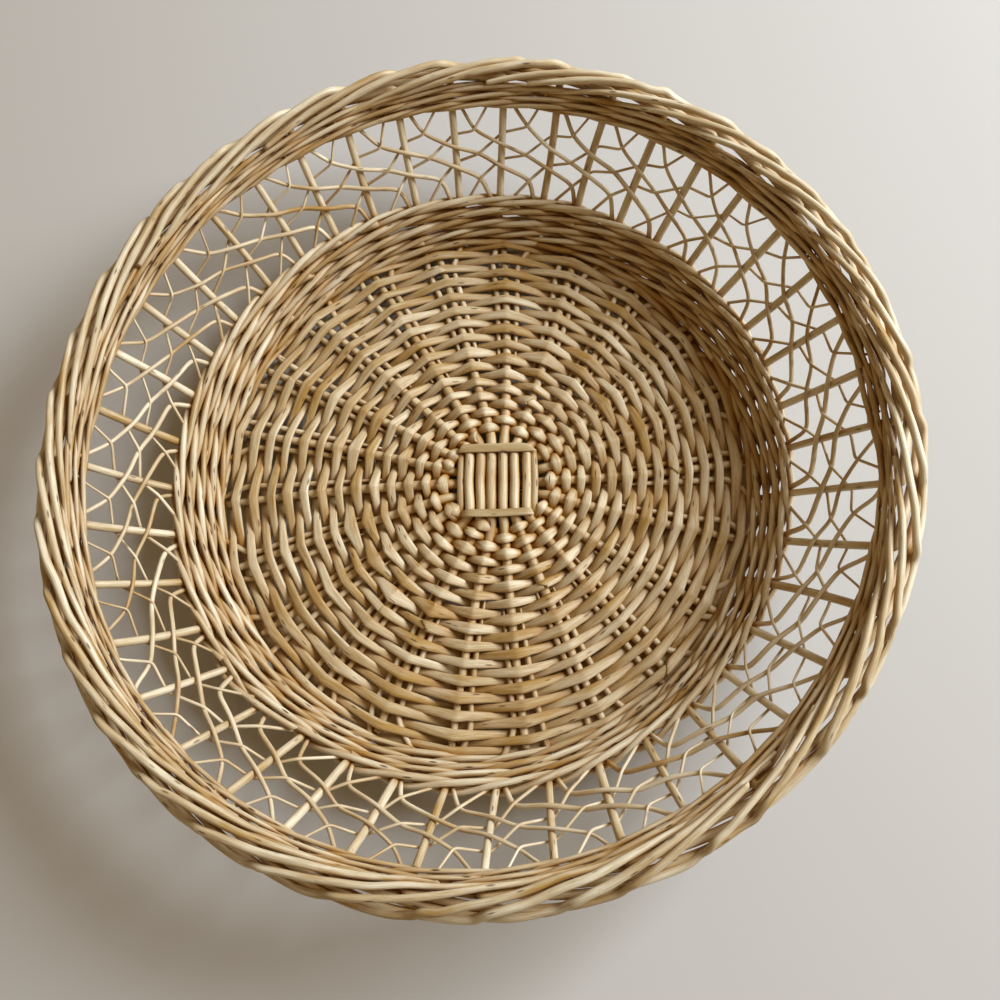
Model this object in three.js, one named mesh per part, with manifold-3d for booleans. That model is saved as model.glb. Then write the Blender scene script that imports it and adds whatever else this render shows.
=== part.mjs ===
// A round, shallow wall basket of peeled willow: a randed base of crossed sticks, a low
// waled foot, an openwork wall laced with thin rods, and a rolled border.
// Millimetres, +Z up, the basket standing on its base; the origin is under its middle.
import * as THREE from "three";
import { mergeVertices } from "three/addons/utils/BufferGeometryUtils.js";
import Module from "manifold-3d";

// Rods, by what they are used for.
const stickRadius = 2.2;
const weaverWidth = 3.8;
const weaverThickness = 1.4;
const stakeRadius = 2.1;
const waleRadius = 1.9;
const laceRadius = 0.95;
const bindingWidth = 3.4;
const bindingThickness = 1.4;

// Flat sides of each kind of rod's section.
const stickSides = 6;
const rodSides = 4;
const laceSides = 3;

// The free space between rods that touch, and between the turns of one rod.
const clearance = 0.3;
const turnGap = 0.9;

// The base: sticks laid across each other in the middle, then fanned out evenly this far past
// the crossing. The crossing lies a little off the basket's middle, and the rounds of the weave
// make up for it. The sticks turn a little way round between the fan's start and the edge.
const upperStickCount = 6;
const lowerStickCount = 5;
const upperStickSpacing = 6.6;
const lowerStickSpacing = 7.4;
const baseRadius = 149;
const baseCrown = 5;
const fanReach = 9.5;
const slathX = 10.5;
const slathY = -1;
const fanTwistDegrees = 2.6;

// The wall's line, from the edge of the base up to the top wale: how far out each part of it
// reaches past the part below, and how far up. The stakes lean round by the twist on the way.
const kneeReach = 3.5;
const bendReach = 5.5;
const bendRise = 6.5;
const shoulderReach = 14;
const shoulderHeight = 29;
const openworkReach = 32;
const openworkRise = 37;
const topWaleReach = 9.5;
const topWaleRise = 12.5;
const wallTwistDegrees = 1.95;

// The stakes. They stand closest together on the crowded side, where each space is narrower
// than the mean one by the crowding's share, and as much wider on the far side.
const stakeCount = 41;
const stakeTurnDegrees = -8.4;
const crowdedSideDegrees = 65;
const crowdingShare = 0.066;

// The border that the stakes' ends are rolled into. The roll starts at this direction from its
// middle, counted from outwards. A rod has joined it after the lead and ends after the tail,
// both counted in spaces between stakes.
const rollStartDegrees = -150;
const borderRodsAbreast = 6;
const leadStakeCount = 0.2;
const tailStakeCount = 4.5;
const borderStepsPerStake = 2;

// The lace: where a rod passes stakes and other rods, as spaces from the stake that it starts
// beside and shares of the openwork's height. One set passes inside the stakes and climbs
// counter-clockwise, and the other passes outside them and climbs clockwise.
const insideLace = [[0.15, 0], [0.33, 0.21], [1, 0.36], [1.47, 0.48], [2, 0.6], [2.5, 0.77], [2.8, 1]];
const outsideLace = [[0.2, 0], [0.67, 0.21], [1, 0.38], [1.53, 0.48], [2, 0.68], [2.5, 0.77], [2.7, 1]];

// The lowest turn of the foot stays level for this share of its way round, so that the basket
// stands on it, and is worn flat there by this depth.
const footWear = 0.5;
const levelShare = 0.8;

const materials = {
  baseStick: new THREE.MeshStandardMaterial({ color: 0xd9c19a, roughness: 0.55, metalness: 0 }),
  baseWeaver: new THREE.MeshStandardMaterial({ color: 0xcfae7c, roughness: 0.6, metalness: 0 }),
  binding: new THREE.MeshStandardMaterial({ color: 0xbfa270, roughness: 0.6, metalness: 0 }),
  stake: new THREE.MeshStandardMaterial({ color: 0xd8bd8f, roughness: 0.5, metalness: 0 }),
  wale: new THREE.MeshStandardMaterial({ color: 0xc8a56c, roughness: 0.6, metalness: 0 }),
  lace: new THREE.MeshStandardMaterial({ color: 0xd2b586, roughness: 0.6, metalness: 0 }),
};

const wasm = await Module();
wasm.setup();

const up = new THREE.Vector3(0, 0, 1);

// A section with flat sides, inside a circle of the rod's radius.
function roundSection(radius, sides) {
  return Array.from({ length: sides }, (_, i) => {
    const angle = ((i + 0.5) / sides) * 2 * Math.PI;
    return [radius * Math.cos(angle), radius * Math.sin(angle)];
  });
}

function flatSection(width, thickness) {
  const [x, y] = [width / 2, thickness / 2];
  return [[x, -y], [x, y], [-x, y], [-x, -y]];
}

// A closed rod along the points. Each joint is mitred on the plane that halves its bend, so
// the rod keeps its full thickness, and the section doesn't twist on the way.
function rodGeometry(points, section, firstUp = up) {
  const directions = points.slice(1).map((p, i) => p.clone().sub(points[i]).normalize());
  const side = new THREE.Vector3().crossVectors(directions[0], firstUp).normalize();
  const top = new THREE.Vector3().crossVectors(side, directions[0]);
  let offsets = section.map(([x, y]) =>
    side.clone().multiplyScalar(x).addScaledVector(top, y));
  const positions = [];
  points.forEach((point, i) => {
    const before = directions[Math.max(i - 1, 0)];
    const after = directions[Math.min(i, directions.length - 1)];
    const mitre = before.clone().add(after).normalize();
    offsets = offsets.map((offset) => {
      const slid = offset.clone().addScaledVector(before, -offset.dot(mitre) / before.dot(mitre));
      positions.push(...point.clone().add(slid).toArray());
      return slid.addScaledVector(after, -slid.dot(after));
    });
  });
  const sides = section.length;
  const index = [];
  for (let i = 0; i < points.length - 1; i++)
    for (let j = 0; j < sides; j++) {
      const [a, b] = [i * sides + j, i * sides + ((j + 1) % sides)];
      index.push(a, b + sides, b, a, a + sides, b + sides);
    }
  const last = (points.length - 1) * sides;
  for (let j = 1; j < sides - 1; j++) {
    index.push(0, j, j + 1);
    index.push(last, last + j + 1, last + j);
  }
  const geometry = new THREE.BufferGeometry();
  geometry.setAttribute("position", new THREE.Float32BufferAttribute(positions, 3));
  geometry.setIndex(index);
  return geometry;
}

function solidOf(geometry) {
  const merged = mergeVertices(geometry, 1e-4);
  return new wasm.Manifold(new wasm.Mesh({
    numProp: 3,
    vertProperties: merged.attributes.position.array,
    triVerts: new Uint32Array(merged.index.array),
  }));
}

function geometryOf(solid) {
  const mesh = solid.getMesh();
  const geometry = new THREE.BufferGeometry();
  geometry.setAttribute("position", new THREE.BufferAttribute(mesh.vertProperties, 3));
  geometry.setIndex(new THREE.BufferAttribute(mesh.triVerts, 1));
  return geometry;
}

function around(angle, radius, height) {
  return new THREE.Vector3(radius * Math.cos(angle), radius * Math.sin(angle), height);
}

const basket = new THREE.Group();

function addPiece(name, geometry, material) {
  const mesh = new THREE.Mesh(geometry, material);
  mesh.name = name;
  geometry.computeVertexNormals();
  basket.add(mesh);
}

// Heights that follow from the rods: the lowest wale turn lies under the feet of the stakes.
const waleOffset = stakeRadius + waleRadius + clearance;
const footHeight = waleOffset + waleRadius - footWear;
const spokeCount = 2 * (upperStickCount + lowerStickCount);
const spokeStep = (2 * Math.PI) / spokeCount;

// The middle plane of the base, higher towards its middle.
function baseHeight(radius) {
  return footHeight + baseCrown * (1 - (radius / baseRadius) ** 2);
}

// How far each layer of sticks must lie flat to clear the widest spread of the other layer.
const upperSpread = (upperStickSpacing * (upperStickCount - 1)) / 2 + stickRadius;
const lowerSpread = (lowerStickSpacing * (lowerStickCount - 1)) / 2 + stickRadius;
const crossingReach = Math.max(upperSpread, lowerSpread);
const fanRadius = crossingReach + fanReach;

// Moves a point of the base with the crossing: fully in the middle, and less towards the edge.
const slathShift = new THREE.Vector3(slathX, slathY, 0);
const shiftSlope = slathShift.length() / (baseRadius - fanRadius);
const fanTwist = THREE.MathUtils.degToRad(fanTwistDegrees);

function seated(point) {
  const radius = Math.hypot(point.x, point.y);
  const share = (baseRadius - Math.max(radius, fanRadius)) / (baseRadius - fanRadius);
  point.applyAxisAngle(up, fanTwist * (1 - share));
  return point.addScaledVector(slathShift, Math.max(share, 0));
}

// Base sticks. The middle stick of each set runs straight; the others bend where the fan starts.
function fannedStick(number, count, spacing, acrossAngle, lift) {
  const offset = (number - (count - 1) / 2) * spacing;
  const turn = (number - (count - 1) / 2) * spokeStep;
  const half = [];
  half.push([crossingReach, offset, baseHeight(crossingReach) + lift]);
  const start = new THREE.Vector2(fanRadius * Math.cos(turn), fanRadius * Math.sin(turn));
  for (const share of [0, 0.33, 0.67, 1]) {
    const radius = fanRadius + (baseRadius - fanRadius) * share;
    half.push([
      start.x * (radius / fanRadius),
      start.y * (radius / fanRadius),
      baseHeight(radius),
    ]);
  }
  const far = half.map(([x, y, z]) => new THREE.Vector3(x, y, z));
  const near = half.map(([x, y, z]) => new THREE.Vector3(-x, y, z)).reverse();
  const points = [...near, ...far];
  points.forEach((point) => seated(point.applyAxisAngle(up, acrossAngle)));
  return rodGeometry(points, roundSection(stickRadius, stickSides));
}

const layerLift = stickRadius + clearance / 2;
for (let i = 0; i < upperStickCount; i++)
  addPiece(
    `base_stick_upper_${i + 1}`,
    fannedStick(i, upperStickCount, upperStickSpacing, Math.PI / 2, layerLift),
    materials.baseStick,
  );
for (let i = 0; i < lowerStickCount; i++)
  addPiece(
    `base_stick_lower_${i + 1}`,
    fannedStick(i, lowerStickCount, lowerStickSpacing, 0, -layerLift),
    materials.baseStick,
  );

// The binding: one flat rod laid round the crossing, high over the upper sticks where it runs
// across them and low over the lower sticks where it runs beside the upper ones.
const bindingX = upperSpread + clearance + bindingWidth / 2;
const bindingY = lowerSpread + clearance + bindingWidth / 2;
const overStick = stickRadius + clearance + bindingThickness / 2;
const stillLow = (fanRadius - bindingX - bindingWidth / 2) / (fanRadius - crossingReach);
const bindingLow = baseHeight(bindingX) - layerLift * stillLow + overStick;
const bindingHigh = baseHeight(0) + layerLift + overStick;

const bindingPath = [];
for (const [x, y] of [[1, 1], [-1, 1], [-1, -1], [1, -1]]) {
  const along = [
    [x * bindingX, y * (lowerSpread - bindingWidth), bindingLow],
    [x * bindingX, y * lowerSpread, bindingHigh],
    [x * bindingX, y * bindingY, bindingHigh],
  ];
  bindingPath.push(...(x * y > 0 ? along : along.reverse()));
}
bindingPath.push([bindingX, lowerSpread - bindingWidth - clearance, bindingLow]);
const bindingPoints = bindingPath.map((point) => new THREE.Vector3(...point).add(slathShift));
const binding = rodGeometry(bindingPoints, flatSection(bindingWidth, bindingThickness));
addPiece("slath_binding", binding, materials.binding);

// The base weave: two flat rods that chase each other outwards, over one stick and under the
// next. As many rounds as fit are spread evenly from the fan's start to the base's edge.
const weaverStart = fanRadius + weaverWidth / 2 + clearance;
const closestPitch = (weaverWidth + clearance) / (1 - shiftSlope);
const weaverReach = baseRadius - weaverWidth / 2 - closestPitch;
const roundsPerWeaver = Math.floor((weaverReach - weaverStart) / (2 * closestPitch));
const weaverPitch = (weaverReach - weaverStart) / (2 * roundsPerWeaver);

// A crest is high enough for the straight run beside it to clear the stick's side.
function baseWeaver(startRadius, startsOver) {
  const points = [];
  const steps = roundsPerWeaver * spokeCount;
  for (let i = 0; i <= steps; i++) {
    const radius = startRadius + (i / spokeCount) * 2 * weaverPitch;
    const angle = i * spokeStep;
    const span = 2 * radius * Math.sin(spokeStep / 2);
    const clear = stickRadius + weaverThickness / 2 + clearance;
    const crest = (clear * span) / Math.sqrt(span ** 2 - 4 * clear ** 2);
    const over = (i % 2 === 0) === startsOver;
    points.push(seated(around(angle, radius, baseHeight(radius) + (over ? crest : -crest))));
  }
  return rodGeometry(points, flatSection(weaverWidth, weaverThickness));
}

addPiece("base_weaver_a", baseWeaver(weaverStart, true), materials.baseWeaver);
addPiece("base_weaver_b", baseWeaver(weaverStart + weaverPitch, false), materials.baseWeaver);

// The wall's line from the foot of a stake to its top, and a way along it by length.
const footRadius = baseRadius + clearance;
const kneeRadius = baseRadius + kneeReach;
const bendRadius = kneeRadius + bendReach;
const shoulderRadius = bendRadius + shoulderReach;
const laceTopRadius = shoulderRadius + openworkReach;
const laceTopHeight = shoulderHeight + openworkRise;
const wallTopRadius = laceTopRadius + topWaleReach;
const wallTopHeight = laceTopHeight + topWaleRise;
const wallLine = new THREE.CatmullRomCurve3([
  new THREE.Vector3(footRadius, 0, footHeight),
  new THREE.Vector3(kneeRadius, 0, footHeight),
  new THREE.Vector3(bendRadius, 0, footHeight + bendRise),
  new THREE.Vector3(shoulderRadius, 0, shoulderHeight),
  new THREE.Vector3(laceTopRadius, 0, laceTopHeight),
  new THREE.Vector3(wallTopRadius, 0, wallTopHeight),
], false, "centripetal");
wallLine.arcLengthDivisions = 400;
const wallLength = wallLine.getLength();

const wallTwist = THREE.MathUtils.degToRad(wallTwistDegrees);

// The direction of a stake, or of a place between two stakes.
const stakeStep = (2 * Math.PI) / stakeCount;
const stakeTurn = THREE.MathUtils.degToRad(stakeTurnDegrees);
const crowdedSide = THREE.MathUtils.degToRad(crowdedSideDegrees);

function stakeAngle(number) {
  const even = number * stakeStep;
  return even + stakeTurn + crowdingShare * Math.sin(crowdedSide - even);
}

// A place on the wall: between which stakes, its length along the wall's line, and how far
// outside that line.
function onWall(number, along, outside) {
  const share = Math.min(Math.max(along / wallLength, 0), 1);
  const point = wallLine.getPointAt(share);
  const tangent = wallLine.getTangentAt(share);
  const angle = stakeAngle(number) - wallTwist * share;
  return around(angle, point.x + tangent.z * outside, point.z - tangent.x * outside);
}

// The length along the wall's line at which it reaches a height.
function lengthAtHeight(height) {
  let [low, high] = [0, wallLength];
  for (let i = 0; i < 40; i++) {
    const middle = (low + high) / 2;
    if (wallLine.getPointAt(middle / wallLength).z < height) low = middle;
    else high = middle;
  }
  return low;
}

// Stakes: each runs up the wall and is then rolled round its neighbours to make the border.
const rollAngle = (2 * Math.PI) / borderRodsAbreast;
const flatRollRadius = (2 * stakeRadius + clearance) / (2 * Math.sin(rollAngle / 2));
const narrowestSpace = stakeStep * (1 - crowdingShare) * wallTopRadius;
const rollSlope = (rollAngle * flatRollRadius) / narrowestSpace;
const rollStep = rollAngle / borderStepsPerStake;
const rollRadius = (flatRollRadius * Math.sqrt(1 + rollSlope ** 2)) / Math.cos(rollStep / 2);
const rollStart = THREE.MathUtils.degToRad(rollStartDegrees);
const borderRadius = wallTopRadius - rollRadius * Math.cos(rollStart);
const borderHeight = wallTopHeight - rollRadius * Math.sin(rollStart);

function inBorder(number, turns) {
  const roll = rollStart + turns * rollAngle;
  return around(
    stakeAngle(number + turns) - wallTwist,
    borderRadius + rollRadius * Math.cos(roll),
    borderHeight + rollRadius * Math.sin(roll),
  );
}

const wallStations = [
  0,
  kneeRadius - footRadius,
  lengthAtHeight(footHeight + bendRise / 3),
  lengthAtHeight(footHeight + bendRise),
  lengthAtHeight(shoulderHeight),
  lengthAtHeight(laceTopHeight),
  wallLength,
];

for (let i = 0; i < stakeCount; i++) {
  const points = wallStations.map((along) => onWall(i, along, 0));
  for (let step = 0; step <= tailStakeCount * borderStepsPerStake; step++) {
    const turns = step === 0 ? leadStakeCount : step / borderStepsPerStake;
    points.push(inBorder(i, turns));
  }
  const geometry = rodGeometry(points, roundSection(stakeRadius, rodSides));
  addPiece(`stake_${String(i + 1).padStart(2, "0")}`, geometry, materials.stake);
}

// Wales: a rod that goes outside two stakes and inside the third, round and round the wall.
// It may stay level for a share of its first turn, before it climbs clear of its own start.
function wale(fromLength, toLength, levelFor) {
  const pitch = 2 * waleRadius + turnGap;
  const steps = Math.floor(((toLength - fromLength) / pitch) * stakeCount);
  const points = [];
  for (let i = 0; i <= steps; i++) {
    const turn = i / stakeCount;
    const climbed = Math.max(Math.min(turn, (turn - levelFor) / (1 - levelFor)), 0);
    const outside = i % 3 === 2 ? -waleOffset : waleOffset;
    points.push(onWall(i, fromLength + (turn < 1 ? climbed : turn) * pitch, outside));
  }
  return rodGeometry(points, roundSection(waleRadius, rodSides));
}

// The foot's lowest turn is worn flat: what lies under the ground plane is cut away.
const ground = new THREE.BoxGeometry(3 * baseRadius, 3 * baseRadius, 4 * waleRadius);
ground.deleteAttribute("normal");
ground.deleteAttribute("uv");
ground.translate(0, 0, -2 * waleRadius);
const footStart = waleRadius + clearance;
const foot = solidOf(wale(footStart, lengthAtHeight(shoulderHeight) - waleRadius, levelShare));
addPiece("foot_wale", geometryOf(foot.subtract(solidOf(ground))), materials.wale);

const topWaleStart = lengthAtHeight(laceTopHeight) + waleRadius + clearance;
const topWaleEnd = wallLength - waleRadius - stakeRadius - 2 * clearance;
addPiece("top_wale", wale(topWaleStart, topWaleEnd, 0), materials.wale);

// Lace: the rods start between the stakes on top of the foot wale and end under the top wale.
// The two sets are caught together at their lower crossings, and only pass at the top one.
const laceBottom = lengthAtHeight(shoulderHeight) + clearance;
const laceTop = topWaleStart - waleRadius - clearance;
const laceOffset = stakeRadius + laceRadius + clearance;
const laceBite = laceRadius / 2;
const laceApart = laceRadius + clearance / 2;

function laceRod(number, stations, direction) {
  const lastStation = stations.length - 1;
  const points = stations.map(([spaces, share], station) => {
    const atStake = Number.isInteger(spaces);
    const atEnd = station === 0 || station === lastStation;
    const crossing = station === lastStation - 1 ? laceApart : laceBite;
    const outside = direction * (atStake ? -laceOffset : crossing);
    const along = laceBottom + (laceTop - laceBottom) * share;
    return onWall(number + direction * spaces, along, atEnd ? 0 : outside);
  });
  return rodGeometry(points, roundSection(laceRadius, laceSides));
}

const laceRods = [];
for (let i = 0; i < stakeCount; i++) {
  laceRods.push(solidOf(laceRod(i, insideLace, 1)));
  laceRods.push(solidOf(laceRod(i, outsideLace, -1)));
}
let lace = laceRods[0];
for (const rod of laceRods.slice(1)) lace = lace.add(rod);
addPiece("lace_rods", geometryOf(lace), materials.lace);

export default basket;
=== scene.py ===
"""A round, shallow wall basket of peeled willow, put together rod by rod round its CAD frame."""

import math

import bpy
import numpy as np
from mathutils import Matrix, Vector


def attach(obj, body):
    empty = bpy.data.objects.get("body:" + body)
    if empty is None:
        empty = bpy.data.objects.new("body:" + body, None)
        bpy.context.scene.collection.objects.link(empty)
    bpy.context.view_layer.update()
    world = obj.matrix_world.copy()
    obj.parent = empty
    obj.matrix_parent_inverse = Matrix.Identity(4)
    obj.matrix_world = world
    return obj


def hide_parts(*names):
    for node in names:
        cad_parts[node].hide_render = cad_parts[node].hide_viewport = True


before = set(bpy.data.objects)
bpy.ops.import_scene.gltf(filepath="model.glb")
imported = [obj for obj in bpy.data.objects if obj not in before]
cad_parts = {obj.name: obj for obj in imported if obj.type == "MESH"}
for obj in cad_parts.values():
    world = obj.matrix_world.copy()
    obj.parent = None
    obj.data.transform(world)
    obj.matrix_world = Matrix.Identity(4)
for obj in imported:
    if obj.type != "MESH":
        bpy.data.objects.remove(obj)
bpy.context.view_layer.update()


# Camera
# It looks down into the bowl from beyond the lower right of the rim, in the way that someone
# looks at a basket lying at their feet.
camera_place = Vector((0.073, -0.162, 0.578))
camera_aim = Vector((-0.108, 0.266, -1.0)).normalized()
focal_pixels = 1050
picture_pixels = 1000
sensor_width = 36

camera_right = camera_aim.cross(Vector((0, 1, 0))).normalized()
camera_up = camera_right.cross(camera_aim)
camera = bpy.data.objects.new("camera", bpy.data.cameras.new("camera"))
camera.matrix_world = Matrix.LocRotScale(
    camera_place,
    Matrix((camera_right, camera_up, -camera_aim)).transposed(),
    None,
)
camera.data.sensor_width = sensor_width
camera.data.lens = sensor_width * focal_pixels / picture_pixels
camera.data.clip_start = 0.01
bpy.context.scene.collection.objects.link(camera)
bpy.context.scene.camera = camera


# Base sticks
# Eleven straight, thick willow sticks. Five lie side by side, six lie across them, and beyond
# this crossing, the slath, they are fanned out into the twenty-two spokes of the base.
upper_count = 6
lower_count = 5
upper_spacing = 0.0066
lower_spacing = 0.0074
base_radius = 0.149
base_crown = 0.005
base_edge_height = 0.0057
fan_radius = 0.0282
fan_twist = math.radians(2.6)
slath_shift = np.array((0.0105, -0.001, 0.0))
stick_middle_radius = 0.0028
stick_edge_radius = 0.0021
slath_reach = 0.0187
spoke_count = 2 * (upper_count + lower_count)
spoke_step = 2 * math.pi / spoke_count

dice = np.random.default_rng(41)


def polar(angle, radius, height):
    return np.stack(np.broadcast_arrays(
        radius * np.cos(angle), radius * np.sin(angle), height), axis=-1)


def base_height(radius):
    """The middle plane of the base, a shallow dome."""
    return base_edge_height + base_crown * (1 - (radius / base_radius) ** 2)


def seated(points):
    """Moves points of the base along with its slath, which isn't quite in the middle."""
    points = np.array(points, float)
    radius = np.hypot(points[..., 0], points[..., 1])
    share = (base_radius - np.clip(radius, fan_radius, base_radius)) / (base_radius - fan_radius)
    twist = fan_twist * (1 - share)
    turned = points.copy()
    turned[..., 0] = points[..., 0] * np.cos(twist) - points[..., 1] * np.sin(twist)
    turned[..., 1] = points[..., 0] * np.sin(twist) + points[..., 1] * np.cos(twist)
    return turned + slath_shift * share[..., None]


def smooth_line(points, step):
    """A centripetal Catmull-Rom line through the points, in steps of about this length.
    Columns after the first three, such as a radius, are carried along."""
    points = np.array(points, float)
    points = np.vstack([2 * points[0] - points[1], points, 2 * points[-1] - points[-2]])
    gaps = np.linalg.norm(np.diff(points[:, :3], axis=0), axis=1) ** 0.5
    line = []
    for i in range(1, len(points) - 2):
        p0, p1, p2, p3 = points[i - 1:i + 3]
        t1, t2, t3 = np.cumsum(gaps[i - 1:i + 2])
        length = np.linalg.norm(p2[:3] - p1[:3])
        last = i == len(points) - 3
        count = max(int(length / step), 1)
        t = np.linspace(t1, t2, count + 1)[: None if last else -1, None]
        a1 = (t1 - t) / t1 * p0 + t / t1 * p1
        a2 = (t2 - t) / (t2 - t1) * p1 + (t - t1) / (t2 - t1) * p2
        a3 = (t3 - t) / (t3 - t2) * p2 + (t - t2) / (t3 - t2) * p3
        b1 = (t2 - t) / t2 * a1 + t / t2 * a2
        b2 = (t3 - t) / (t3 - t1) * a2 + (t - t1) / (t3 - t1) * a3
        line.append((t2 - t) / (t2 - t1) * b1 + (t - t1) / (t2 - t1) * b2)
    return np.vstack(line)


def unit(vectors):
    return vectors / np.linalg.norm(vectors, axis=-1, keepdims=True)


grain_range = 40
cut_height = 0.0002
cut_share = 0.8


def rod(path, width, thickness=None, face=None, sides=8, cuts=(0, 0), tone=None, roundness=1):
    """One rod along a path. Its half width, half thickness and roundness may change on the way,
    and a roundness under one gives fuller corners. Face is the direction of the thickness,
    carried along without twist where none is given. Cuts are the slants of the two ends."""
    path = np.array(path, float)
    count = len(path)
    width = np.broadcast_to(width, count)
    thickness = width if thickness is None else np.broadcast_to(thickness, count)
    ahead = unit(np.gradient(path, axis=0))
    if face is None:
        faces = [np.cross(ahead[0], (0.0, 0.0, 1.0))]
        for direction in ahead[1:]:
            faces.append(faces[-1] - direction * (faces[-1] @ direction))
        face = np.array(faces)
    face = unit(face - ahead * np.sum(face * ahead, axis=1, keepdims=True))
    side = np.cross(ahead, face)
    around = 2 * np.pi * np.arange(sides) / sides
    power = np.broadcast_to(roundness, count)[:, None]
    across, upward = (np.sign(wave) * np.abs(wave) ** power
                      for wave in (np.cos(around), np.sin(around)))
    rings = (path[:, None]
             + side[:, None] * (width[:, None] * across)[..., None]
             + face[:, None] * (thickness[:, None] * upward)[..., None])
    rings[0] += ahead[0] * (cuts[0] * width[0] * across[0])[:, None]
    rings[-1] += ahead[-1] * (cuts[1] * width[-1] * across[-1])[:, None]
    lengths = np.concatenate([[0], np.cumsum(np.linalg.norm(np.diff(path, axis=0), axis=1))])
    place = np.stack([
        np.repeat(lengths[:, None] + dice.uniform(0, grain_range), sides, axis=1),
        width[:, None] * across,
        thickness[:, None] * upward,
    ], axis=-1)
    return {"rings": rings, "place": place, "ahead": ahead, "out": unit(rings - path[:, None]),
            "bulk": math.pi * width * thickness * np.gradient(lengths) / sides,
            "tone": dice.uniform(0, 1) if tone is None else tone}


woven = []


def add_rods(name, rods, material):
    """Joins rods into one mesh with closed ends. Each point keeps its place along and across its
    rod, its rod's tone and whether it is on a cut end, and the Painted shade section uses what is
    woven."""
    corners, places, tones, ends, outs, bulks, faces = [], [], [], [], [], [], []
    first = 0
    for one in rods:
        count, sides = one["rings"].shape[:2]
        ring = np.arange(sides)
        after = (ring + 1) % sides
        rows = first + sides * np.arange(count - 1)[:, None]
        faces.append(np.stack(
            [rows + ring, rows + after, rows + sides + after, rows + sides + ring],
            axis=-1).reshape(-1, 4))
        parts = [one["rings"].reshape(-1, 3)]
        place = [one["place"].reshape(-1, 3)]
        out = [one["out"].reshape(-1, 3)]
        end = [np.zeros(count * sides)]
        next_free = first + count * sides
        for at, sign in ((0, -1), (count - 1, 1)):
            rim = one["rings"][at]
            middle = rim.mean(axis=0)
            outward = one["ahead"][at] * sign
            lip = middle + (rim - middle) * cut_share + outward * cut_height
            parts += [lip, middle[None] + outward * cut_height]
            place += [one["place"][at] * (1, cut_share, cut_share),
                      one["place"][at][:1] * (1, 0, 0)]
            out += [np.tile(outward, (sides + 1, 1))]
            end += [np.ones(sides + 1)]
            outer = first + at * sides
            hub = next_free + sides
            pair = (ring, after) if sign < 0 else (after, ring)
            faces.append(np.stack(
                [outer + pair[1], outer + pair[0], next_free + pair[0], next_free + pair[1]],
                axis=-1))
            faces.append(np.stack(
                [next_free + pair[1], next_free + pair[0], np.full(sides, hub),
                 np.full(sides, -1)], axis=-1))
            next_free += sides + 1
        corners.append(np.vstack(parts))
        places.append(np.vstack(place))
        ends.append(np.concatenate(end))
        outs.append(np.vstack(out))
        bulks.append(np.concatenate([np.repeat(one["bulk"], sides), np.zeros(2 * sides + 2)]))
        tones.append(np.full(next_free - first, one["tone"]))
        first = next_free
    mesh = bpy.data.meshes.new(name)
    faces = np.vstack(faces)
    mesh.from_pydata(np.vstack(corners), [], [f[f >= 0].tolist() for f in faces])
    mesh.polygons.foreach_set("use_smooth", np.ones(len(mesh.polygons), bool))
    values = (("rod_place", "FLOAT_VECTOR", "vector", np.vstack(places).ravel()),
              ("rod_tone", "FLOAT", "value", np.concatenate(tones)),
              ("rod_end", "FLOAT", "value", np.concatenate(ends)))
    for label, kind, field, data in values:
        mesh.attributes.new(label, kind, "POINT").data.foreach_set(field, data.astype(np.float32))
    mesh.materials.append(material)
    woven.append((mesh, np.vstack(corners), np.vstack(outs), np.concatenate(bulks)))
    piece = bpy.data.objects.new(name, mesh)
    bpy.context.scene.collection.objects.link(piece)
    return piece


# Painted shade: the golden brown multiplied into the crevices between rods.
painted_crevice_shade = (0.66, 0.40, 0.11, 1)
fibre_brown = (0.42, 0.30, 0.15, 1)
scar_brown = (0.12, 0.055, 0.02, 1)
cut_brown = (0.42, 0.29, 0.15, 1)
cut_strength = 0.8
slow_scale = (22, 130, 130)
patch_scale = (55, 420, 420)
fibre_scale = (70, 3200, 3200)
scar_scale = (60, 300, 300)
scar_edge = (0.17, 0.08)
tone_range = (-0.35, 0.35)
slow_range = (-0.35, 0.35)
patch_range = (0.0, 0.45)
roughness_range = (0.34, 0.56)
fibre_height = 0.6
patch_height = 0.8


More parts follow.
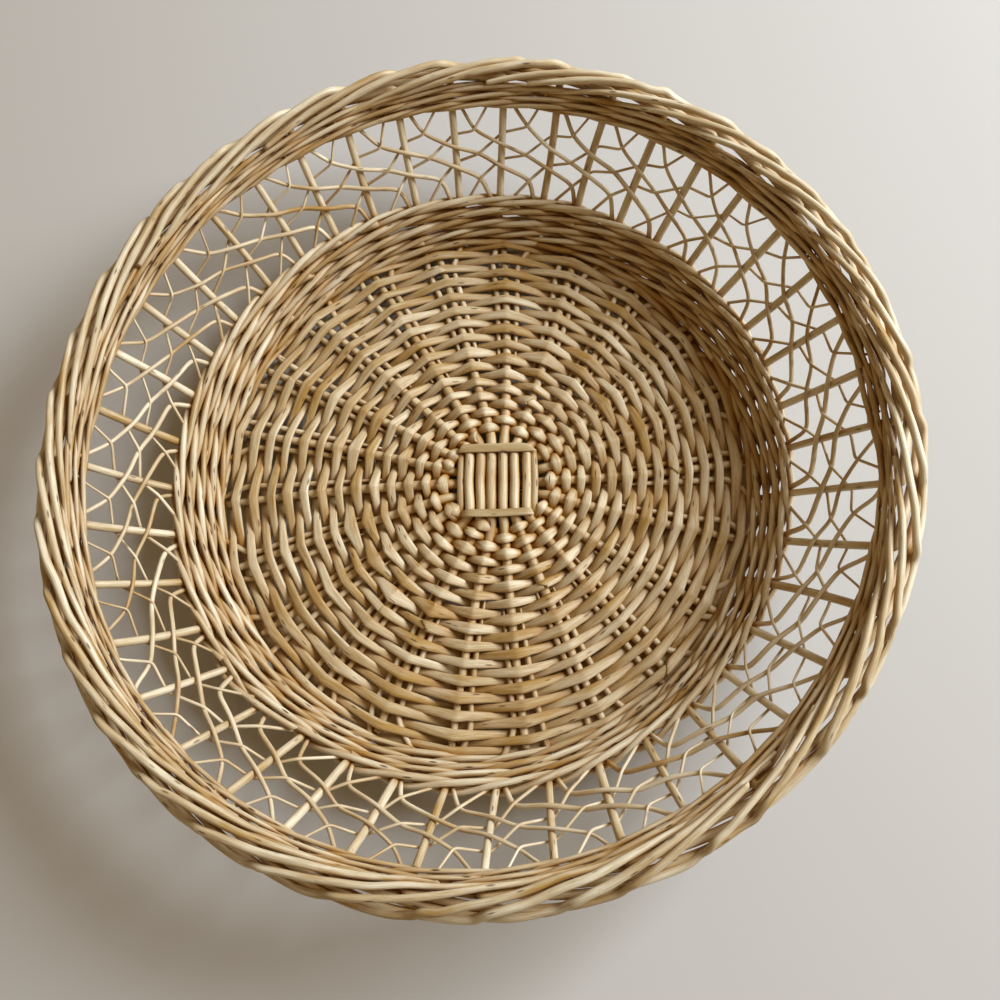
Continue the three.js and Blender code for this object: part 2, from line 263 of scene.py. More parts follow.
def willow_group():
    """Peeled willow: long fine fibres, slow changes of colour along each rod, painted golden shade
    where a place lies deep among other rods, small dark bud scars, and browner wood where a rod is
    cut."""
    group = bpy.data.node_groups.new("peeled_willow", "ShaderNodeTree")
    for name, kind in (("Pale", "NodeSocketColor"), ("Deep", "NodeSocketColor"),
                       ("Depth", "NodeSocketFloat"), ("Fibre", "NodeSocketFloat"),
                       ("Scars", "NodeSocketFloat")):
        group.interface.new_socket(name, in_out="INPUT", socket_type=kind)
    for name, kind in (("Color", "NodeSocketColor"), ("Roughness", "NodeSocketFloat"),
                       ("Height", "NodeSocketFloat")):
        group.interface.new_socket(name, in_out="OUTPUT", socket_type=kind)
    nodes, links = group.nodes, group.links
    given = nodes.new("NodeGroupInput")
    result = nodes.new("NodeGroupOutput")

    def attribute(name):
        node = nodes.new("ShaderNodeAttribute")
        node.attribute_name = name
        return node

    def math_node(kind, first, second, clamp=False):
        node = nodes.new("ShaderNodeMath")
        node.operation = kind
        node.use_clamp = clamp
        for socket, value in zip(node.inputs, (first, second)):
            if isinstance(value, (int, float)):
                socket.default_value = value
            else:
                links.new(value, socket)
        return node.outputs[0]

    def stretched(scale):
        node = nodes.new("ShaderNodeVectorMath")
        node.operation = "MULTIPLY"
        links.new(place.outputs["Vector"], node.inputs[0])
        node.inputs[1].default_value = scale
        return node.outputs[0]

    def noise(scale, detail, roughness=0.5):
        node = nodes.new("ShaderNodeTexNoise")
        node.inputs["Scale"].default_value = 1
        node.inputs["Detail"].default_value = detail
        node.inputs["Roughness"].default_value = roughness
        links.new(stretched(scale), node.inputs["Vector"])
        return node.outputs["Fac"]

    def remap(value, low, high, to_low=0.0, to_high=1.0):
        node = nodes.new("ShaderNodeMapRange")
        links.new(value, node.inputs["Value"])
        for name, number in (("From Min", low), ("From Max", high),
                             ("To Min", to_low), ("To Max", to_high)):
            node.inputs[name].default_value = number
        return node.outputs["Result"]

    def mix(share, first, second, blend="MIX"):
        node = nodes.new("ShaderNodeMix")
        node.data_type = "RGBA"
        node.blend_type = blend
        for socket, value in ((node.inputs[0], share), (node.inputs[6], first),
                              (node.inputs[7], second)):
            if isinstance(value, (int, float, tuple)):
                socket.default_value = value
            else:
                links.new(value, socket)
        return node.outputs[2]

    place = attribute("rod_place")
    tone = attribute("rod_tone").outputs["Fac"]
    end = attribute("rod_end").outputs["Fac"]
    slow = noise(slow_scale, 2)
    patches = noise(patch_scale, 3, 0.6)
    fibres = noise(fibre_scale, 4, 0.65)
    depth = math_node("ADD", remap(tone, 0, 1, *tone_range), remap(slow, 0.3, 0.7, *slow_range))
    depth = math_node("ADD", depth, remap(patches, 0.42, 0.72, *patch_range))
    depth = math_node("ADD", depth, given.outputs["Depth"], clamp=True)
    colour = mix(depth, given.outputs["Pale"], given.outputs["Deep"])
    # Painted shade: darker golden brown where a place lies deep among other rods.
    shade_share = attribute("rod_painted_shade").outputs["Fac"]
    colour = mix(shade_share, colour, painted_crevice_shade, "MULTIPLY")
    streak = math_node("MULTIPLY", remap(fibres, 0.42, 0.7), given.outputs["Fibre"])
    colour = mix(streak, colour, fibre_brown, "MULTIPLY")
    scar = nodes.new("ShaderNodeTexVoronoi")
    scar.inputs["Scale"].default_value = 1
    links.new(stretched(scar_scale), scar.inputs["Vector"])
    scar_mask = math_node(
        "MULTIPLY", remap(scar.outputs["Distance"], *scar_edge), given.outputs["Scars"])
    colour = mix(scar_mask, colour, scar_brown)
    colour = mix(math_node("MULTIPLY", end, cut_strength), colour, cut_brown)
    links.new(colour, result.inputs["Color"])
    links.new(remap(fibres, 0.3, 0.7, *roughness_range), result.inputs["Roughness"])
    height = math_node("SUBTRACT", math_node("MULTIPLY", fibres, fibre_height), scar_mask)
    height = math_node("ADD", height, math_node("MULTIPLY", patches, patch_height))
    links.new(height, result.inputs["Height"])
    return group


peeled_willow = willow_group()
grain_strength = 0.6
grain_height = 0.0004


def willow(name, pale, deep, depth, fibre=0.5, scars=0.8):
    """A willow finish: the shared group's colour, roughness and height on its own shader."""
    material = bpy.data.materials.new(name)
    material.use_nodes = True
    nodes, links = material.node_tree.nodes, material.node_tree.links
    shader = nodes["Principled BSDF"]
    group = nodes.new("ShaderNodeGroup")
    group.node_tree = peeled_willow
    group.inputs["Pale"].default_value = (*pale, 1)
    group.inputs["Deep"].default_value = (*deep, 1)
    group.inputs["Depth"].default_value = depth
    group.inputs["Fibre"].default_value = fibre
    group.inputs["Scars"].default_value = scars
    raised = nodes.new("ShaderNodeBump")
    raised.inputs["Strength"].default_value = grain_strength
    raised.inputs["Distance"].default_value = grain_height
    links.new(group.outputs["Color"], shader.inputs["Base Color"])
    links.new(group.outputs["Roughness"], shader.inputs["Roughness"])
    links.new(group.outputs["Height"], raised.inputs["Height"])
    links.new(raised.outputs["Normal"], shader.inputs["Normal"])
    return material


def place_piece(piece, node):
    """The piece rides on the basket and stands for its CAD node."""
    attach(piece, "root")
    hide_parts(node)


stick_willow = willow("stick_willow", (0.77, 0.68, 0.49), (0.48, 0.31, 0.11), depth=0.3)
stick_stray = 0.0003
height_stray = 0.0002
fan_stray = 0.012
stick_tones = (0, 0.7)
stick_step = 0.0025
wobble_share = 0.04
wobble_angle = 9


def base_stick(number, count, spacing, turn, lift):
    """A stick through the slath, bent a little where it joins the fan, thinner at its ends."""
    from_middle = number - (count - 1) / 2
    offset = from_middle * spacing + dice.normal(0, stick_stray)
    ends = []
    for sign in (-1, 1):
        stray = dice.normal(0, fan_stray)
        lean = dice.normal(0, stick_stray)
        points = [(sign * slath_reach, offset + lean, base_height(slath_reach) + lift)]
        for radius in np.linspace(fan_radius, base_radius, 6):
            share = (radius - fan_radius) / (base_radius - fan_radius)
            angle = from_middle * spoke_step + stray * share
            points.append((sign * radius * math.cos(angle), radius * math.sin(angle),
                           base_height(radius) + dice.normal(0, height_stray) * share))
        ends.append(points)
    points = np.array(ends[0][::-1] + [(0, offset, base_height(0) + lift)] + ends[1])
    across, along = math.sin(turn), math.cos(turn)
    points = np.stack([points[:, 0] * along - points[:, 1] * across,
                       points[:, 0] * across + points[:, 1] * along, points[:, 2]], axis=1)
    out = np.hypot(points[:, 0], points[:, 1])
    thick = np.interp(out, (fan_radius, base_radius), (stick_middle_radius, stick_edge_radius))
    path = smooth_line(np.column_stack([seated(points), thick]), stick_step)
    angles = np.linspace(0, wobble_angle, len(path)) + dice.uniform(0, 6)
    wobble = 1 + wobble_share * np.sin(angles)
    return rod(path[:, :3], path[:, 3] * wobble, sides=14, tone=dice.uniform(*stick_tones))


pressed_in = 0.0001
slath_lift = stick_middle_radius - pressed_in
for number in range(upper_count):
    piece = add_rods(
        f"base_stick_upper_{number + 1}_willow",
        [base_stick(number, upper_count, upper_spacing, math.pi / 2, slath_lift)], stick_willow)
    place_piece(piece, f"base_stick_upper_{number + 1}")
for number in range(lower_count):
    piece = add_rods(
        f"base_stick_lower_{number + 1}_willow",
        [base_stick(number, lower_count, lower_spacing, 0.0, -slath_lift)], stick_willow)
    place_piece(piece, f"base_stick_lower_{number + 1}")


# Slath binding
# A split skein of greenish willow, wound once round the crossing of the sticks: over the six,
# then down beside them and over the next arm. Its end is cut to a point and tucked in.
binding_green = willow("binding_willow", (0.58, 0.45, 0.26), (0.42, 0.29, 0.12), depth=0.3)
binding_x = 0.0205
binding_y = 0.0188
binding_low = base_height(binding_x) + 0.0018
binding_high = base_height(0) + slath_lift + stick_middle_radius + 0.0007
flat_skein = (0.0006, 0.5)
round_skein = (0.0014, 1.0)
skein_step = 0.001
skein_tone = 0.35


def skein(points, widths, cuts, section=flat_skein):
    """A length of skein on the slath; its section is its half thickness and its roundness."""
    thickness, roundness = section
    widths = np.broadcast_to(widths, len(points))
    path = smooth_line(np.column_stack([points, widths]), skein_step)
    place = path[:, :3] + slath_shift
    face = np.tile((0.0, 0.0, 1.0), (len(place), 1))
    return rod(place, path[:, 3], thickness, face, sides=14, cuts=cuts, tone=skein_tone,
               roundness=roundness)


tuck = 0.0035
skeins = [
    skein([(binding_x + 0.0016, binding_y - 0.0022, binding_high - 0.0006),
           (binding_x - 0.0030, binding_y - 0.0006, binding_high),
           (binding_x - 0.0060, binding_y - 0.0002, binding_high + 0.0001),
           (0, binding_y, binding_high + 0.0002),
           (-binding_x + 0.002, binding_y, binding_high),
           (-binding_x - 0.0004, binding_y - 0.0002, binding_high - 0.0005)],
          (0.0004, 0.0022, 0.0026, 0.0026, 0.0024, 0.0021), (0.0, -0.8)),
    skein([(-binding_x, binding_y - 0.001, binding_low),
           (-binding_x, binding_y - 0.004, binding_low + 0.0012),
           (-binding_x - 0.0004, 0, binding_low + 0.0016),
           (-binding_x, -binding_y + 0.004, binding_low + 0.0012),
           (-binding_x, -binding_y + 0.001, binding_low)], 0.0019, (0, 0), round_skein),
    skein([(-binding_x, -binding_y + 0.0004, binding_high - tuck),
           (-binding_x + 0.004, -binding_y, binding_high),
           (0, -binding_y - 0.0003, binding_high + 0.0002),
           (binding_x - 0.003, -binding_y + 0.0002, binding_high),
           (binding_x - 0.0006, -binding_y + 0.0003, binding_high - 0.001)],
          (0.0016, 0.0021, 0.0022, 0.0021, 0.0018), (0, 0.5)),
    skein([(binding_x, -binding_y + 0.001, binding_low),
           (binding_x, -binding_y + 0.004, binding_low + 0.0012),
           (binding_x + 0.0006, 0, binding_low + 0.0016),
           (binding_x, binding_y - 0.004, binding_low + 0.0012),
           (binding_x, binding_y - 0.001, binding_low)], 0.0021, (0, 0), round_skein),
]
place_piece(add_rods("slath_binding_willow", skeins, binding_green), "slath_binding")


# Base weave
# Two runs of weavers chase each other outwards, over one stick and under the next. Each rod is
# pressed flat and creased where it passes a stick, and when it ends a new one is laid in.
weaver_willow = willow(
    "weaver_willow", (0.80, 0.705, 0.52), (0.46, 0.28, 0.08), depth=0.38, fibre=0.7)
weaver_start = 0.0304
weaver_pitch = 0.004675
rounds_before = 0.7
weave_reach = 0.1535
over_width = 0.0030
gap_width = 0.0023
flank_power = 1.1
weaver_steps = np.array((0, 0.035, 0.11, 0.22, 0.34, 0.45, 0.55, 0.66, 0.78, 0.89, 0.965))
weaver_thickness = 0.00105
crease_thickening = 0.25
slath_thickening = ((0.03, 0.055), (1.45, 1))
weaver_roundness = ((0.035, 0.06), (1, 0.78))
weaver_taper = (1.08, 0.9)
weaver_fullness = (0.92, 1.06)
weaver_slant = 1.2
weaver_stray = 0.0003
crossing_sharpness = (0.3, 1)
crest_heights = (0.0040, 0.0037)
crest_stray = 0.0002
width_stray = 0.10
tilt_stray = 0.12
# Rows of wider rods: how far out they lie, how far they spread and how much wider they are.
wide_rows = ((0.078, 0.006, 0.35), (0.026, 0.012, 0.22))
shortest_run = 24
longest_run = 46
overrun = 0.7
laid_over = 0.0008
laid_over_spaces = 0.35
start_extra = 0.5
end_extra = 0.6
end_growth = 1.6
thinnest_end = 0.35
near_slath = (0.03, 0.06)
creasing = (0.3, 0.95)
darkest_tones = (0.25, 1)
upper_middle = 5.5


def spoke_point(spoke, radius):
    """A place on a spoke. Where a run starts, closer in than the fan, its places are drawn
    towards a straight line along the upper edge of the slath."""
    spoke = spoke % spoke_count
    angle = spoke * spoke_step
    out = max(radius, fan_radius)
    fan = np.array((out * math.cos(angle), out * math.sin(angle)))
    edge = np.array(((upper_middle - spoke) * upper_spacing, slath_reach))
    share = min((radius - slath_reach) / (fan_radius - slath_reach), 1)
    return edge * (1 - share) + fan * share


def base_weaver(start_radius, starts_over):
    """One run as a list of rods, each some rounds long and let in beside the last one."""
    first = -int(rounds_before * spoke_count)
    last = int((weave_reach - start_radius) / (2 * weaver_pitch) * spoke_count)
    keys = np.arange(first, last + 2)
    radii = start_radius + keys / spoke_count * 2 * weaver_pitch
    radii += dice.normal(0, weaver_stray, len(keys))
    crossings = np.array([spoke_point(key, radius) for key, radius in zip(keys, radii)])
    bearings = np.unwrap(np.arctan2(crossings[:, 1], crossings[:, 0]))
    distances = np.hypot(*crossings.T)
    sharpness = dice.uniform(*crossing_sharpness, len(keys))
    crests = np.interp(radii, (fan_radius, base_radius), crest_heights)
    crests = crests + dice.normal(0, crest_stray, len(keys))
    widths = over_width * (1 + dice.normal(0, width_stray, len(keys)))
    for middle, spread, extra in wide_rows:
        widths *= 1 + extra * np.exp(-(((radii - middle) / spread) ** 2))
    tilts = dice.normal(0, tilt_stray, len(keys))
    joints = [first]
    while joints[-1] < last - longest_run:
        joints.append(joints[-1] + int(dice.integers(shortest_run, longest_run)))
    joints.append(last)
    rods = []
    for begin, end in zip(joints[:-1], joints[1:]):
        s = (np.arange(begin, end + 1)[:, None] + weaver_steps).ravel()
        s = s[s < end + overrun]
        even = np.mod(s, 2)
        roof = 1 - 2 * np.minimum(even, 2 - even)
        straight = np.stack([np.interp(s, keys, crossings[:, k]) for k in (0, 1)], axis=1)
        curved = polar(np.interp(s, keys, bearings), np.interp(s, keys, distances), 0)[:, :2]
        creased = np.interp(s, keys, sharpness * np.interp(distances, near_slath, creasing))
        flat = curved + (straight - curved) * creased[:, None]
        radius = np.hypot(*flat.T)
        rise = creased * roof + (1 - creased) * np.cos(np.pi * s)
        height = (rise if starts_over else -rise) * np.interp(s, keys, crests)
        height += laid_over * np.exp(-(((s - begin) / laid_over_spaces) ** 2))
        points = np.column_stack([flat, base_height(radius) + height])
        flank = np.abs(np.mod(s, 1) - 0.5) * 2
        half = gap_width + (np.interp(s, keys, widths) - gap_width) * flank ** flank_power
        from_ends = np.minimum(s - begin + start_extra, end + end_extra - s)
        ends = np.clip(from_ends * end_growth, thinnest_end, 1)
        outward = np.column_stack([flat / radius[:, None], np.zeros(len(s))])
        face = np.array((0.0, 0.0, 1.0)) + outward * np.interp(s, keys, tilts)[:, None]
        thick = weaver_thickness * (1 + crease_thickening * (1 - flank)) * np.sqrt(ends)
        thick *= np.interp(radius, *slath_thickening)
        fullness = np.interp(s, (begin, end), weaver_taper) * dice.uniform(*weaver_fullness)
        tone = dice.uniform(0, np.interp(radius[0], near_slath, darkest_tones))
        rods.append(rod(seated(points), half * ends * fullness, thick, face, sides=14,
                        cuts=dice.uniform(-weaver_slant, weaver_slant, 2), tone=tone,
                        roundness=np.interp(radius, *weaver_roundness)))
    return rods


for letter, start, over in (("a", weaver_start, True),
                            ("b", weaver_start + weaver_pitch, False)):
    piece = add_rods(f"base_weaver_{letter}_willow", base_weaver(start, over), weaver_willow)
    place_piece(piece, f"base_weaver_{letter}")


# Stakes and border
# Forty-one stakes. Each is pushed into the weave beside a base stick, bent up at the edge of
# the base, climbs the wall, and is rolled down round its neighbours to make the rope border.
stake_willow = willow(
    "stake_willow", (0.82, 0.75, 0.585), (0.45, 0.28, 0.08), depth=0.37, fibre=0.65)
stake_count = 41
stake_step = 2 * math.pi / stake_count
stake_turn = math.radians(-8.4)
crowded_side = math.radians(65)
crowding_share = 0.066
wall_twist = math.radians(1.95)
stake_radius = 0.0021
low_share = 0.85
stake_slant = 0.9
stake_tones = (0, 0.7)
rod_fullness = (0.92, 1.08)
path_step = 0.0016
butt_radius = 0.0017
# How far out a butt's tip lies, and at the other places how far out and how far to the side.
butt_tips = (0.062, 0.078)
butt_tip_radius = 0.0006
butt_tip_offset = 0.0047
butt_line = [(0.1, 0.0053), (0.12, 0.0062), (0.138, 0.0078)]
stake_lean = 0.035
border_slip = 0.10
border_stray = 0.0003
tail_ends = (5.0, 5.5, 6.4)
tail_shares = (0.08, 0.12, 0.8)
# The wall's line, from the edge of the base up to the border: how far out and how high.
wall_points = [(0.1493, 0.0057), (0.1525, 0.0057), (0.158, 0.0122), (0.172, 0.029),
               (0.204, 0.066), (0.2135, 0.0785)]
wall_step = 0.0002
wall_line = smooth_line(np.insert(np.array(wall_points), 1, 0, axis=1), wall_step)[:, [0, 2]]
wall_lengths = np.concatenate(
    [[0], np.cumsum(np.linalg.norm(np.diff(wall_line, axis=0), axis=1))])
wall_length = wall_lengths[-1]
wall_slope = unit(np.gradient(wall_line, axis=0))


def stake_angle(number):
    """The direction of a stake, or of a place between two; they crowd towards one side."""
    even = np.asarray(number) * stake_step
    return even + stake_turn + crowding_share * np.sin(crowded_side - even)


def on_wall(number, along, outside):
    """Places on the wall: between which stakes, how far along its line, and how far outside."""
    along = np.clip(along, 0, wall_length)
    radius, height, run, climb = (
        np.interp(along, wall_lengths, column)
        for column in (*wall_line.T, *wall_slope.T))
    angle = stake_angle(number) - wall_twist * along / wall_length
    return polar(angle, radius + climb * outside, height - run * outside)


def length_at_height(height):
    return float(np.interp(height, wall_line[:, 1], wall_lengths))


# How a stake's end lies in the border: after how many spaces, how far out and how high. It runs
# low behind its neighbours, comes up sharply at the outer edge and goes in over the top.
border_line = [(0.35, 0.2145, 0.0775), (1.0, 0.2185, 0.0758), (1.6, 0.2213, 0.0752),
               (2.2, 0.2235, 0.0750), (2.65, 0.2239, 0.0755), (2.86, 0.2235, 0.0772),
               (2.97, 0.2227, 0.0800), (3.08, 0.2217, 0.0826), (3.3, 0.2200, 0.0842),
               (3.6, 0.2180, 0.0850), (4.0, 0.2155, 0.0852), (4.5, 0.2128, 0.0846),
               (5.0, 0.2108, 0.0828), (5.5, 0.2096, 0.0802), (6.0, 0.2090, 0.0774),
               (6.4, 0.2086, 0.0752)]
border_thickness = ((0.35, 3, 4.5, 6.4), (1.13, 1.0, 0.92, 0.5))


def butt_points(number):
    """The part of a stake that lies beside its base stick, in one of the 44 places for it."""
    place = round((stake_angle(number) - fan_twist) / (spoke_step / 2) + 0.5)
    side = 1 if place % 2 else -1
    points = []
    for radius, offset in [(dice.uniform(*butt_tips), butt_tip_offset), *butt_line]:
        angle = place // 2 * spoke_step + side * offset / radius
        points.append([*polar(angle, radius, base_height(radius)), butt_radius])
    points = np.array(points)
    points[0, 3] = butt_tip_radius
    points[:, :3] = seated(points[:, :3])
    return points


def stake_path(number):
    """A stake from its butt in the base to its tail in the border, with its radius."""
    lean = dice.normal(0, stake_lean)
    fullness = dice.uniform(*rod_fullness)
    points = [*butt_points(number)]
    stations = [0.004, 0.009, 0.018, length_at_height(0.029), length_at_height(0.045),
                length_at_height(0.060), length_at_height(0.072), wall_length]
    for along in stations:
        share = along / wall_length
        bow = lean * math.sin(math.pi * share)
        thick = stake_radius * fullness * (low_share + (1 - low_share) * min(share * 3, 1))
        points.append([*on_wall(number + bow, along, dice.normal(0, height_stray)), thick])
    tail = dice.choice(tail_ends, p=tail_shares)
    slip = dice.normal(0, border_slip)
    for turns, radius, height in border_line:
        if turns > tail:
            break
        radius += dice.normal(0, border_stray)
        height += dice.normal(0, height_stray)
        place = polar(stake_angle(number + turns + slip) - wall_twist, radius, height)
        thick = np.interp(turns, *border_thickness)
        points.append([*place, stake_radius * fullness * thick])
    return smooth_line(np.array(points), path_step)


for number in range(stake_count):
    path = stake_path(number)
    stake = rod(path[:, :3], path[:, 3], sides=12,
                cuts=(0, dice.uniform(-stake_slant, stake_slant)),
                tone=dice.uniform(*stake_tones))
    label = f"stake_{number + 1:02d}"
    place_piece(add_rods(f"{label}_willow", [stake], stake_willow), label)


# Foot wale
# Rows of three thinner rods woven at once, each passing inside two stakes and outside the
# third, so that they wrap each other like rope. They hold the stakes up and make the foot.
wale_willow = willow(
    "wale_willow", (0.82, 0.745, 0.58), (0.44, 0.26, 0.065), depth=0.4, fibre=0.7, scars=1.0)
wale_pitch = 0.0065
wale_radius = 0.0018
wale_offset = 0.0032
wale_layers = (0.0, -0.0006, 0.0004)
wale_steps = 6
wale_stray = 0.00022
wale_slack = 0.0004
row_shift = 0.25
top_slack = 0.3
end_lift = 0.0012
end_spaces = 0.4
rod_taper = (1.12, 0.86)


def periodic(values, where):
    """A smooth curve through values that repeat, at whole numbers."""
    count = len(values)
    values = np.array(values, float)
    low = np.floor(where).astype(int)
    share = where - low
    p0, p1, p2, p3 = (values[(low + k) % count] for k in (-1, 0, 1, 2))
    return 0.5 * (2 * p1 + (p2 - p0) * share + (2 * p0 - 5 * p1 + 4 * p2 - p3) * share ** 2
                  + (3 * p1 - p0 - 3 * p2 + p3) * share ** 3)


def waling(from_along, to_along, pitch, radius, offset, joint_range):
    """Three-rod waling between two lengths along the wall, as a list of rods. The offset is how
    far inside and outside the stakes they run, and their ends are let in a little further."""
    rods = []
    rounds = (to_along - from_along) / pitch
    total = rounds * stake_count
    for phase in range(3):
        begin = float(phase)
        while begin < total - 3:
            end = begin + int(dice.integers(*joint_range))
            end = min(end + (2 - end - phase) % 3, total + phase)
            s = np.arange(begin, end + overrun, 1 / wale_steps)
            stroke = s + phase
            tip = np.exp(-(((end + overrun - s) / end_spaces) ** 2))
            butt = np.exp(-(((s - begin) / end_spaces) ** 2))
            across = periodic((offset, -offset, -offset), stroke)
            shift = periodic((0, row_shift, row_shift, 0, -row_shift, -row_shift), 2 * stroke)
            layer = periodic(wale_layers, stroke)
            along = from_along + pitch * (np.minimum(s, total) / stake_count + shift)
            knots = np.arange(int(end) + 3)
            loose = np.interp(s, knots, dice.normal(0, wale_stray, len(knots)))
            slack = np.interp(s, knots, dice.normal(0, wale_slack, len(knots)))
            slack += end_lift * butt
            along = np.clip(along + slack, from_along, to_along + top_slack * pitch)
            path = on_wall(s, along, across + layer + loose - end_lift * (tip + butt / 2))
            taper = np.interp(s, (begin, end + overrun), rod_taper) * dice.uniform(*rod_fullness)
            path[:, 2] = np.maximum(path[:, 2], radius * taper)
            rods.append(rod(path, radius * taper, cuts=dice.uniform(-1, 1, 2)))
            begin = end
    return rods


foot_bottom = 0.0022
foot_top = length_at_height(0.029)
below_top = 0.0015
foot_runs = (22, 50)
foot_rods = waling(foot_bottom, foot_top - below_top, wale_pitch, wale_radius, wale_offset,
                   foot_runs)
place_piece(add_rods("foot_wale_willow", foot_rods, wale_willow), "foot_wale")


# Lace
# Two thin rods start beside each stake on top of the foot wale. One climbs to the left inside
# the stakes, the other to the right outside them, and they catch each other in each gap.
lace_willow = willow(
    "lace_willow", (0.82, 0.73, 0.55), (0.44, 0.26, 0.075), depth=0.34, scars=0.7)
# The places of a lace rod: after how many spaces, how far up the openwork, and whether it
# catches another rod there (1), passes a stake (-1) or only ends (0).
inside_lace = [(0.1, -0.14, 0), (0.33, 0.21, 1), (1, 0.36, -1), (1.47, 0.48, 1), (2, 0.6, -1),
               (2.5, 0.77, 1), (2.8, 1, 0)]
outside_lace = [(0.12, -0.14, 0), (0.67, 0.21, 1), (1, 0.38, -1), (1.53, 0.48, 1),
                (2, 0.68, -1), (2.5, 0.77, 1), (2.7, 1, 0)]
inside_radius = 0.00120
outside_radius = 0.0008
lace_bottom = foot_top - 0.001
lace_top = length_at_height(0.066) + 0.001
crossing_stray = (0.035, 0.022)
crossing_jitter = dice.normal(0, 1, (stake_count, 3, 2)) * crossing_stray
stake_stray = 0.016
stake_jitter = dice.normal(0, stake_stray, (stake_count, 2, 2))
caught_depth = -0.0006
lace_end_rise = (0.003, 0.009)
lace_end_spaces = 0.12
lace_end_depth = -0.0026
lace_step = 0.0008
inside_rounding = 40
outside_rounding = 6
lace_fullness = (0.85, 1.15)
lace_tones = (0, 0.85)


def kinked_line(points, rounding):
    """Straight runs between the points, with each corner rounded a little."""
    lengths = np.concatenate([[0], np.cumsum(np.linalg.norm(np.diff(points, axis=0), axis=1))])
    along = np.linspace(0, lengths[-1], int(lengths[-1] / lace_step))
    line = np.stack([np.interp(along, lengths, column) for column in points.T], axis=1)
    for _ in range(rounding):
        line[1:-1] = line[1:-1] / 2 + (line[:-2] + line[2:]) / 4
    return line


def lace_rod(number, stations, direction):
    """One lace rod. Where it crosses one of the other set, both have the same place."""
    radius = inside_radius if direction > 0 else outside_radius
    points = []
    for level, (spaces, share, weave) in enumerate(stations):
        along_round = number + direction * spaces
        gap = math.floor(along_round) % stake_count
        height = share
        outside = 0.0
        if weave > 0:
            jitter = crossing_jitter[gap][level // 2]
            along_round += jitter[0]
            height += jitter[1]
            outside = caught_depth - (direction < 0) * (inside_radius + outside_radius)
        elif weave < 0:
            height += stake_jitter[round(along_round) % stake_count][level // 2 - 1][
                0 if direction > 0 else 1]
            outside = -direction * (stake_radius + radius)
        along = lace_bottom + (lace_top - lace_bottom) * height
        points.append(on_wall(along_round, along, outside))
    points.append(on_wall(number + direction * (spaces + lace_end_spaces),
                          lace_top + dice.uniform(*lace_end_rise), lace_end_depth))
    rounding = inside_rounding if direction > 0 else outside_rounding
    path = kinked_line(np.array(points), rounding)[::2]
    thick = radius * np.linspace(*rod_taper, len(path)) * dice.uniform(*lace_fullness)
    return rod(path, thick, cuts=dice.uniform(-1, 1, 2), tone=dice.uniform(*lace_tones))


lace_rods = []
for number in range(stake_count):
    lace_rods.append(lace_rod(number, inside_lace, 1))
    lace_rods.append(lace_rod(number, outside_lace, -1))
place_piece(add_rods("lace_rods_willow", lace_rods, lace_willow), "lace_rods")


# Top wale
# Nearly three rounds of the same waling in thinner rods hold the tops of the stakes and of the
# lace rods under the border.
top_wale_pitch = 0.0046
top_wale_radius = 0.00138
top_wale_offset = 0.0030
below_border = 0.0016
top_runs = (20, 45)
top_rods = waling(lace_top, wall_length - below_border, top_wale_pitch, top_wale_radius,
                  top_wale_offset, top_runs)
place_piece(add_rods("top_wale_willow", top_rods, wale_willow), "top_wale")


# Painted shade
# Deep among its neighbours a rod is painted darker golden brown for the shade that falls there,
# and where it lies open it keeps its own colour. How deep in painted shade a place is comes from
# how much willow there is just in front of it.
cell = 0.0015
shade_probe_reach = 0.002
fill_without_shade = 0.12
fill_in_full_shade = 0.55
grid_margin = 4 * cell
softenings = 3
corners = np.vstack([points for _, points, _, _ in woven])
grid_start = corners.min(axis=0) - grid_margin
grid_shape = np.ceil((corners.max(axis=0) + grid_margin - grid_start) / cell).astype(int)
share_filled = np.zeros(grid_shape)
for _, points, _, bulk in woven:
    np.add.at(share_filled, tuple(((points - grid_start) / cell).astype(int).T), bulk / cell ** 3)
for axis in range(3):
    for _ in range(softenings):
        share_filled = (share_filled / 2 + np.roll(share_filled, 1, axis) / 4
                        + np.roll(share_filled, -1, axis) / 4)


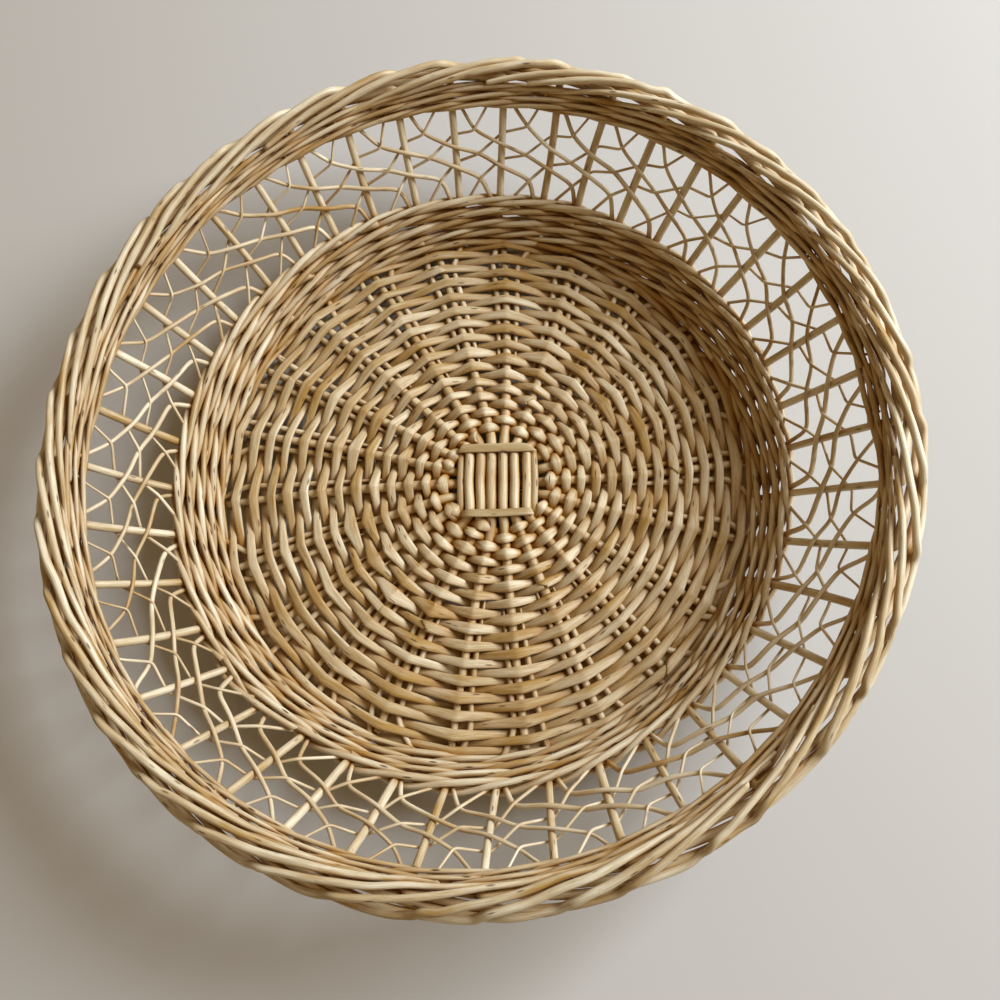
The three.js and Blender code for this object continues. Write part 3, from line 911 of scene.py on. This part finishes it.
def filled_at(points):
    """The share of willow at points between the middles of the grid's cells."""
    at = (points - grid_start) / cell - 0.5
    low = np.floor(at).astype(int)
    share = at - low
    total = 0
    for corner in np.ndindex(2, 2, 2):
        weight = np.where(corner, share, 1 - share).prod(axis=1)
        total = total + weight * share_filled[tuple((low + corner).T)]
    return total


# Painted shade: each point's share of crevice shade, from the willow just in front of it.
for mesh, points, outs, _ in woven:
    filled = filled_at(points + outs * shade_probe_reach)
    shade_amount = np.clip((filled - fill_without_shade) / (fill_in_full_shade - fill_without_shade), 0, 1)
    mesh.attributes.new("rod_painted_shade", "FLOAT", "POINT").data.foreach_set(
        "value", shade_amount.astype(np.float32))


# Floor and light
# A plain pale floor under the basket, a large soft window light from the right and an even
# fill from all round.
floor_reach = 6.0
floor_pale = (0.555, 0.54, 0.53, 1)
floor_roughness = 0.9
window_place = Vector((1.75, 0.75, 1.3))
window_aim = Vector((0, 0, 0.03))
window_width = 1.2
window_height = 1.0
window_watts = 85
window_white = (0.89, 0.955, 1.0)
room_glow = (1.0, 0.70, 0.33, 1)
room_strength = 0.28

floor_mesh = bpy.data.meshes.new("floor")
floor_mesh.from_pydata(
    [(x * floor_reach, y * floor_reach, 0) for x, y in ((-1, -1), (1, -1), (1, 1), (-1, 1))],
    [], [(0, 1, 2, 3)])
floor = bpy.data.objects.new("floor", floor_mesh)
bpy.context.scene.collection.objects.link(floor)
floor_material = bpy.data.materials.new("floor_pale")
floor_material.use_nodes = True
floor_shader = floor_material.node_tree.nodes["Principled BSDF"]
floor_shader.inputs["Base Color"].default_value = floor_pale
floor_shader.inputs["Roughness"].default_value = floor_roughness
floor_mesh.materials.append(floor_material)

window = bpy.data.objects.new("window", bpy.data.lights.new("window", "AREA"))
window.data.shape = "RECTANGLE"
window.data.size = window_width
window.data.size_y = window_height
window.data.energy = window_watts
window.data.color = window_white
window.matrix_world = Matrix.LocRotScale(
    window_place, (window_aim - window_place).to_track_quat("-Z", "Y"), None)
bpy.context.scene.collection.objects.link(window)

world = bpy.data.worlds.new("studio")
bpy.context.scene.world = world
world.use_nodes = True
background = world.node_tree.nodes["Background"]
background.inputs["Color"].default_value = room_glow
background.inputs["Strength"].default_value = room_strength
bpy.context.scene.view_settings.view_transform = "Standard"
